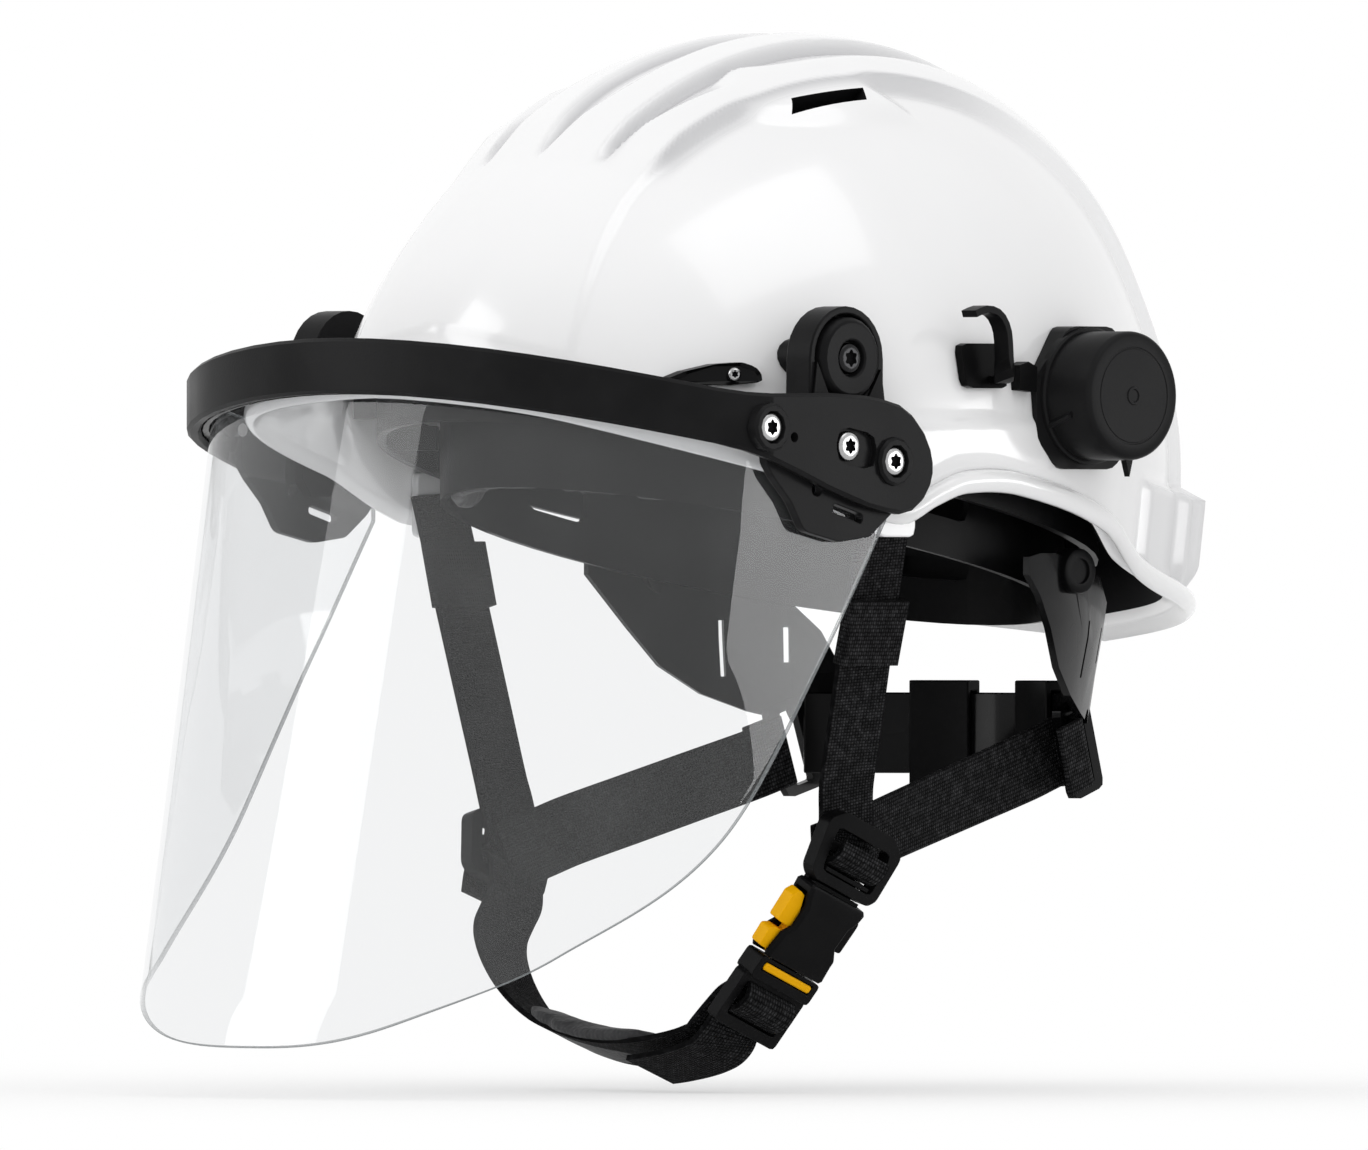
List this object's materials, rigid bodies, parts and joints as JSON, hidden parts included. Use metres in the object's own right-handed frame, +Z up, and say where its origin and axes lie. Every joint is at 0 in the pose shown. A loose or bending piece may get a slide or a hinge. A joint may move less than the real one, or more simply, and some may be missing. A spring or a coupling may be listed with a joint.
{
  "type": "hard hat",
  "caption": "White ribbed hard hat with a flip-up clear face shield on pivoting arms, a clip-in head cradle, a nape yoke and a webbing chin harness with a side-release buckle.",
  "frame": {"origin": "on the mid-plane, inside the head cavity, level with the top of the ear arches", "axes": "+Z up as worn, -Y towards the face, +X towards the wearer's left"},
  "size_m": [0.238, 0.3445, 0.2931],
  "materials": {
    "shell_white": "glossy white moulded plastic",
    "black_plastic": "satin black moulded plastic",
    "gloss_black": "smooth glossy black plastic",
    "webbing": "black woven flat webbing",
    "pad_foam": "black soft pad under knitted cloth",
    "clear_lens": "clear polished polycarbonate sheet",
    "bright_steel": "bright plated screw",
    "release_yellow": "satin yellow moulded plastic"
  },
  "bodies": {
    "helmet": {"shell": "shell_white", "strap_anchor_left": "shell_white", "strap_anchor_right": "shell_white", "slot_cover_left": "gloss_black", "slot_cover_right": "gloss_black", "pivot_post_left": "black_plastic", "pivot_post_right": "black_plastic", "pivot_disc_left": "black_plastic", "pivot_disc_right": "black_plastic", "pivot_screw_left": "bright_steel", "pivot_screw_right": "bright_steel", "lamp_hook_left": "black_plastic", "lamp_hook_right": "black_plastic", "accessory_housing_left": "black_plastic", "accessory_housing_right": "black_plastic", "cradle_ring": "black_plastic", "hanger_front_left": "black_plastic", "hanger_front_right": "black_plastic", "hanger_rear_left": "black_plastic", "hanger_rear_right": "black_plastic", "crown_strap_long": "webbing", "crown_strap_cross": "webbing", "headband": "black_plastic", "sweatband": "pad_foam", "front_strap_left": "webbing", "front_strap_right": "webbing", "strap_keeper_left": "webbing", "strap_keeper_right": "webbing", "rear_strap_left": "webbing", "rear_strap_right": "webbing", "divider_left": "black_plastic", "divider_right": "black_plastic", "buckle_socket": "black_plastic", "buckle_plug": "black_plastic", "buckle_bar": "release_yellow", "chin_strap": "webbing", "chin_pad": "pad_foam"},
    "visor": {"visor_carrier": "black_plastic", "visor_lens": "clear_lens", "lens_gasket": "gloss_black", "lens_clamp_left": "black_plastic", "lens_clamp_right": "black_plastic", "pivot_bracket_left": "black_plastic", "pivot_bracket_right": "black_plastic", "arm_screw_front_left": "bright_steel", "arm_screw_front_right": "bright_steel", "arm_screw_middle_left": "bright_steel", "arm_screw_middle_right": "bright_steel", "arm_screw_rear_left": "bright_steel", "arm_screw_rear_right": "bright_steel"},
    "nape": {"nape_arm_left": "gloss_black", "nape_arm_right": "gloss_black", "nape_band": "gloss_black", "nape_slider_left": "black_plastic", "nape_slider_right": "black_plastic"},
    "front_release": {"release_prong_front": "release_yellow"},
    "rear_release": {"release_prong_rear": "black_plastic"}
  },
  "joints": [
    {"name": "visor_hinge", "type": "hinge", "parent": "helmet", "child": "visor", "pos_m": [0, -0.067, 0.039], "axis": [-1, 0, 0], "range_deg": [0, 100]},
    {"name": "nape_hinge", "type": "hinge", "parent": "helmet", "child": "nape", "pos_m": [0, 0.044, -0.02], "axis": [1, 0, 0], "range_deg": [-6, 6], "deforming": ["rear_strap_left", "rear_strap_right"]},
    {"name": "front_release_slide", "type": "slide", "parent": "helmet", "child": "front_release", "axis": [-0.065, 0.9344, -0.3502], "range_m": [0, 0.0018], "stiffness_N_per_m": 600},
    {"name": "rear_release_slide", "type": "slide", "parent": "helmet", "child": "rear_release", "axis": [0.065, -0.9344, 0.3502], "range_m": [0, 0.0018], "stiffness_N_per_m": 600}
  ]
}
